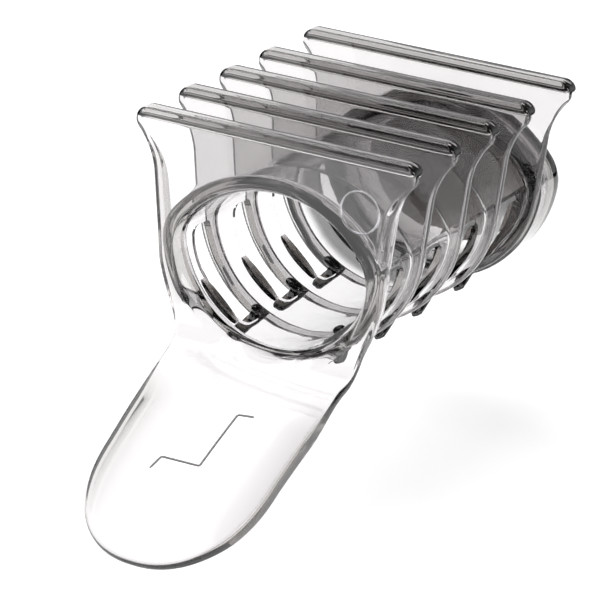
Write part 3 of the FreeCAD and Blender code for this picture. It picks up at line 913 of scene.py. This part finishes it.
class StageSettings(bpy.types.PropertyGroup):
    """Camera and studio of the retractor."""

    azimuth: bpy.props.FloatProperty(
        name="Azimuth", description="Camera's turn round the object from straight ahead",
        default=math.radians(29.14), unit="ROTATION", subtype="ANGLE")
    elevation: bpy.props.FloatProperty(
        name="Elevation", description="Camera's height above the horizon",
        default=math.radians(20.91), unit="ROTATION", subtype="ANGLE")
    roll: bpy.props.FloatProperty(
        name="Roll", description="Camera's turn about its own line of sight",
        default=math.radians(2.68), unit="ROTATION", subtype="ANGLE")
    distance: bpy.props.FloatProperty(
        name="Distance", description="From the aim point to the camera",
        default=0.490, unit="LENGTH", subtype="DISTANCE")
    lens: bpy.props.FloatProperty(
        name="Lens", description="Focal length in millimetres",
        default=233.3, subtype="DISTANCE_CAMERA")
    floor_colour: bpy.props.FloatVectorProperty(
        name="Floor", description="Colour of the pale floor", default=(0.82, 0.82, 0.82),
        size=3, subtype="COLOR")
    floor_glow: bpy.props.FloatProperty(
        name="Floor glow",
        description="Light that the floor adds to the picture, so that it reads white",
        default=0.6)
    paper_size: bpy.props.FloatProperty(
        name="Paper", description="Radius of the white paper that the plastic bends into view",
        default=0.45, unit="LENGTH", subtype="DISTANCE")
    key_power: bpy.props.FloatProperty(
        name="Key lamp", description="Power of the main soft lamp", default=9.5, unit="POWER")
    fill_power: bpy.props.FloatProperty(
        name="Fill lamp", description="Power of the second soft lamp", default=3.2, unit="POWER")


def camera(s):
    """Camera at the photograph's viewing angle."""
    a, e = s.azimuth, s.elevation
    back = Vector((math.sin(a) * math.cos(e), -math.cos(a) * math.cos(e), math.sin(e)))
    right = Vector((math.cos(a), math.sin(a), 0))
    up = Vector((-math.sin(a) * math.sin(e), math.cos(a) * math.sin(e), math.cos(e)))
    r = math.cos(s.roll) * right + math.sin(s.roll) * up
    u = -math.sin(s.roll) * right + math.cos(s.roll) * up
    place = Vector(AIM) + s.distance * back - FRAMING[0] * r - FRAMING[1] * u
    data = bpy.data.cameras.new("camera")
    data.lens = s.lens
    data.sensor_width = 36.0
    cam = put_object("camera", data)
    turn = Matrix((r, u, back)).transposed()
    cam.matrix_world = Matrix.Translation(place) @ turn.to_4x4()
    bpy.context.scene.camera = cam


def floor(s, level):
    """Large pale floor that keeps a faint shadow.

    Rays bent or mirrored by the plastic see it as bright paper, which fades to dark further out.
    """
    mesh = bpy.data.meshes.new("floor")
    side = FLOOR_SIDE
    mesh.from_pydata([(-side, -side, level), (side, -side, level), (side, side, level),
                      (-side, side, level)], [], [(0, 1, 2, 3)])
    piece = put_object("floor", mesh)
    material = bpy.data.materials.new("pale_floor")
    tree = bare_tree(material)
    out = put_node(tree, "OutputMaterial")
    matt = put_node(tree, "BsdfDiffuse", {"Color": (*s.floor_colour, 1)})
    glow = put_node(tree, "Emission", {"Color": (1, 1, 1, 1)})
    light = put_node(tree, "LightPath")
    seen = put_node(tree, "Math", {1: s.floor_glow}, operation="MULTIPLY")
    bent = put_node(tree, "Math", operation="MAXIMUM")
    part = put_node(tree, "Math", operation="MAXIMUM")
    both = put_node(tree, "AddShader")
    coords = put_node(tree, "TexCoord")
    far = put_node(tree, "VectorMath", operation="LENGTH")
    fade = put_node(tree, "MapRange", {"From Min": s.paper_size * PAPER_FADE,
                                       "From Max": s.paper_size}, interpolation_type="SMOOTHSTEP")
    past = put_node(tree, "Math", operation="MULTIPLY")
    dark = put_node(tree, "BsdfDiffuse", {"Color": PAPER_DARK})
    whole = put_node(tree, "MixShader")
    link(tree, (light, "Is Camera Ray", seen, 0), (light, "Is Glossy Ray", bent, 0),
         (light, "Is Transmission Ray", bent, 1), (seen, 0, part, 0), (bent, 0, part, 1),
         (part, 0, glow, "Strength"), (matt, 0, both, 0), (glow, 0, both, 1),
         (coords, "Object", far, 0), (far, "Value", fade, "Value"), (fade, "Result", past, 0),
         (bent, 0, past, 1), (past, 0, whole, "Fac"), (both, 0, whole, 1), (dark, 0, whole, 2),
         (whole, 0, out, "Surface"))
    mesh.materials.append(material)


def lamp(name, place, size, power):
    """Soft square lamp pointed at the object."""
    data = bpy.data.lights.new(name, "AREA")
    data.shape = "RECTANGLE"
    data.size, data.size_y = size
    data.energy = power
    piece = put_object(name, data)
    piece.location = place
    piece.rotation_mode = "QUATERNION"
    piece.rotation_quaternion = (Vector(AIM) - Vector(place)).to_track_quat("-Z", "Y")


def world():
    """Backdrop that the picture shows white all round.

    For what the plastic mirrors and bends it is white low down at the back, and dark overhead
    and in front.
    """
    sky = bpy.data.worlds.new("studio")
    bpy.context.scene.world = sky
    tree = bare_tree(sky)
    out = put_node(tree, "OutputWorld")
    back = put_node(tree, "Background")
    coords = put_node(tree, "TexCoord")
    split = put_node(tree, "SeparateXYZ")
    fade = put_node(tree, "MapRange", {"From Min": 0.15, "From Max": 0.55, "To Min": SKY_WHITE,
                                       "To Max": SKY_DARK}, interpolation_type="SMOOTHSTEP")
    behind = put_node(tree, "MapRange", {"From Min": -0.1, "From Max": 0.4, "To Min": SKY_DARK,
                                         "To Max": SKY_WHITE}, interpolation_type="SMOOTHSTEP")
    least = put_node(tree, "Math", operation="MINIMUM")
    light = put_node(tree, "LightPath")
    best = put_node(tree, "Math", operation="MAXIMUM")
    link(tree, (coords, "Generated", split, 0), (split, "Z", fade, "Value"),
         (split, "Y", behind, "Value"), (fade, "Result", least, 0), (behind, "Result", least, 1),
         (light, "Is Camera Ray", best, 0), (least, 0, best, 1), (best, 0, back, "Strength"),
         (back, 0, out, "Surface"))


class RETRACTOR_OT_stage(bpy.types.Operator):
    """Sets the camera, the pale floor, the soft lamps and the backdrop"""

    bl_idname = "retractor.stage"
    bl_label = "Stage"

    def execute(self, context):
        s = context.scene.retractor_stage
        camera(s)
        floor(s, CAD_BOX[0][2])
        world()
        lamp("key_lamp", KEY_PLACE, KEY_SIZE, s.key_power)
        lamp("fill_lamp", FILL_PLACE, FILL_SIZE, s.fill_power)
        context.scene.view_settings.view_transform = "Standard"
        return {"FINISHED"}


def finish(piece, slot, *materials):
    """Gives a piece its materials; the slot of the record that it stands for is not used."""
    for name in materials:
        piece.data.materials.append(bpy.data.materials[name])


class RETRACTOR_OT_front(bpy.types.Operator):
    """Makes the front piece: plate, funnel, collar and tongue as one moulded sheet"""

    bl_idname = "retractor.front"
    bl_label = "Front piece"

    def execute(self, context):
        s = context.scene.retractor_sizes
        rows = front_rows()
        line = bead(step_path(), s.line_width / 2, s.line_height, False)
        turn = np.linspace(0, 2 * math.pi, 64, endpoint=False)
        path = np.stack([MARK_PLACE[0] + s.mark_radius * np.cos(turn),
                         MARK_PLACE[1] + s.mark_radius * np.sin(turn)], -1)
        ring = bead(path, s.line_width / 2, s.line_height, True)
        parts = [looped(rows, 0), capped(line, 1), looped(ring, 0)]
        piece = put_piece("front_shell", parts, "frame", "front_plate")
        finish(piece, "clear_front", "front_plastic", "mark_plastic")
        return {"FINISHED"}


class RETRACTOR_OT_rings(bpy.types.Operator):
    """Makes the four ring plates with their catches"""

    bl_idname = "retractor.rings"
    bl_label = "Ring plates"

    def execute(self, context):
        s = context.scene.retractor_sizes
        for number, (node, front) in enumerate(zip(PLATES, FRONTS[1:]), 2):
            head = s.small_head if number == 2 else s.large_head
            parts = [looped(ring_rows(front), 0)] + catch_parts(front, head)
            piece = put_piece("ring_shell_%d" % number, parts, "plate_%d" % number, node)
            # The catches take the smoky plastic of painted shade.
            finish(piece, "clear_plates", "plate_plastic", "painted_shade_plastic")
        return {"FINISHED"}


class RETRACTOR_OT_channel(bpy.types.Operator):
    """Makes the two channel halves, with the smoky ledges of painted shade in their bore"""

    bl_idname = "retractor.channel"
    bl_label = "Channel"

    def execute(self, context):
        points, quads, joint = lower_half()
        parts = [(points, quads, 0, joint)] + half_moons()
        piece = put_piece("lower_shell", parts, "frame", "lower_channel")
        # Painted shade: the last bay of the lower half is darkened, and its ledges are smoky.
        finish(piece, "clear_channel", "last_bay_painted_shade", "painted_shade_plastic")
        points, quads, joint = upper_half()
        piece = put_piece("upper_shell", [(points, quads, 0, joint)], "frame", "upper_channel")
        finish(piece, "clear_channel", "channel_plastic")
        return {"FINISHED"}


class RETRACTOR_OT_cap(bpy.types.Operator):
    """Makes the closed end cap with its inner floor darkened as painted shade"""

    bl_idname = "retractor.cap"
    bl_label = "End cap"

    def execute(self, context):
        # The cap's dark inner skin takes the smoky plastic: painted shade.
        parts = [capped(cap_rows(), 0), capped(core_rows(), 1)]
        piece = put_piece("cap_shell", parts, "frame", "end_cap")
        finish(piece, "clear_channel", "channel_plastic", "painted_shade_plastic")
        return {"FINISHED"}


class RETRACTOR_OT_plastic(bpy.types.Operator):
    """Makes the clear plastics, and the smoky ones that carry painted shade"""

    bl_idname = "retractor.plastic"
    bl_label = "Plastic"

    def execute(self, context):
        s = context.scene.retractor_plastic
        tint, smoke = tuple(s.tint), tuple(s.smoke)
        clear_plastic("front_plastic", tint, smoke, s.front_density, SMOOTH, BROAD_FLOW)
        clear_plastic("plate_plastic", tint, smoke, s.plate_density, SMOOTH, BROAD_FLOW)
        channel = (tint, smoke, s.channel_density, CHANNEL_ROUGHNESS, FINE_FLOW)
        clear_plastic("channel_plastic", *channel)
        # Lower channel plastic with painted shade over the last bay.
        clear_plastic("last_bay_painted_shade", *channel, s.rear_bay_painted_shade)
        # Smoky plastic of painted shade, for the catches, ledges and cap floor.
        clear_plastic("painted_shade_plastic", tuple(s.painted_shade_tint), smoke, s.painted_shade_density,
                      CATCH_ROUGHNESS, BROAD_FLOW)
        mark_plastic(tuple(s.mark_colour))
        return {"FINISHED"}


class VIEW3D_PT_retractor(bpy.types.Panel):
    """Sidebar panel that lists the steps."""

    bl_label = "Cheek retractor"
    bl_space_type = "VIEW_3D"
    bl_region_type = "UI"
    bl_category = "Retractor"

    def draw(self, context):
        for step in STEPS:
            self.layout.operator(step.bl_idname)


STEPS = (RETRACTOR_OT_stage, RETRACTOR_OT_plastic, RETRACTOR_OT_front, RETRACTOR_OT_rings,
         RETRACTOR_OT_channel, RETRACTOR_OT_cap)
SETTINGS = {"retractor_stage": StageSettings, "retractor_plastic": PlasticSettings,
            "retractor_sizes": SizeSettings}
CLASSES = tuple(SETTINGS.values()) + STEPS + (VIEW3D_PT_retractor,)


def register():
    for item in CLASSES:
        bpy.utils.register_class(item)
    for name, group in SETTINGS.items():
        setattr(bpy.types.Scene, name, bpy.props.PointerProperty(type=group))


def unregister():
    for name in SETTINGS:
        delattr(bpy.types.Scene, name)
    for item in reversed(CLASSES):
        bpy.utils.unregister_class(item)


def main():
    """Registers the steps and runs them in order."""
    register()
    bpy.ops.retractor.stage()
    bpy.ops.retractor.plastic()
    bpy.ops.retractor.front()
    bpy.ops.retractor.rings()
    bpy.ops.retractor.channel()
    bpy.ops.retractor.cap()


if __name__ == "__main__":
    main()
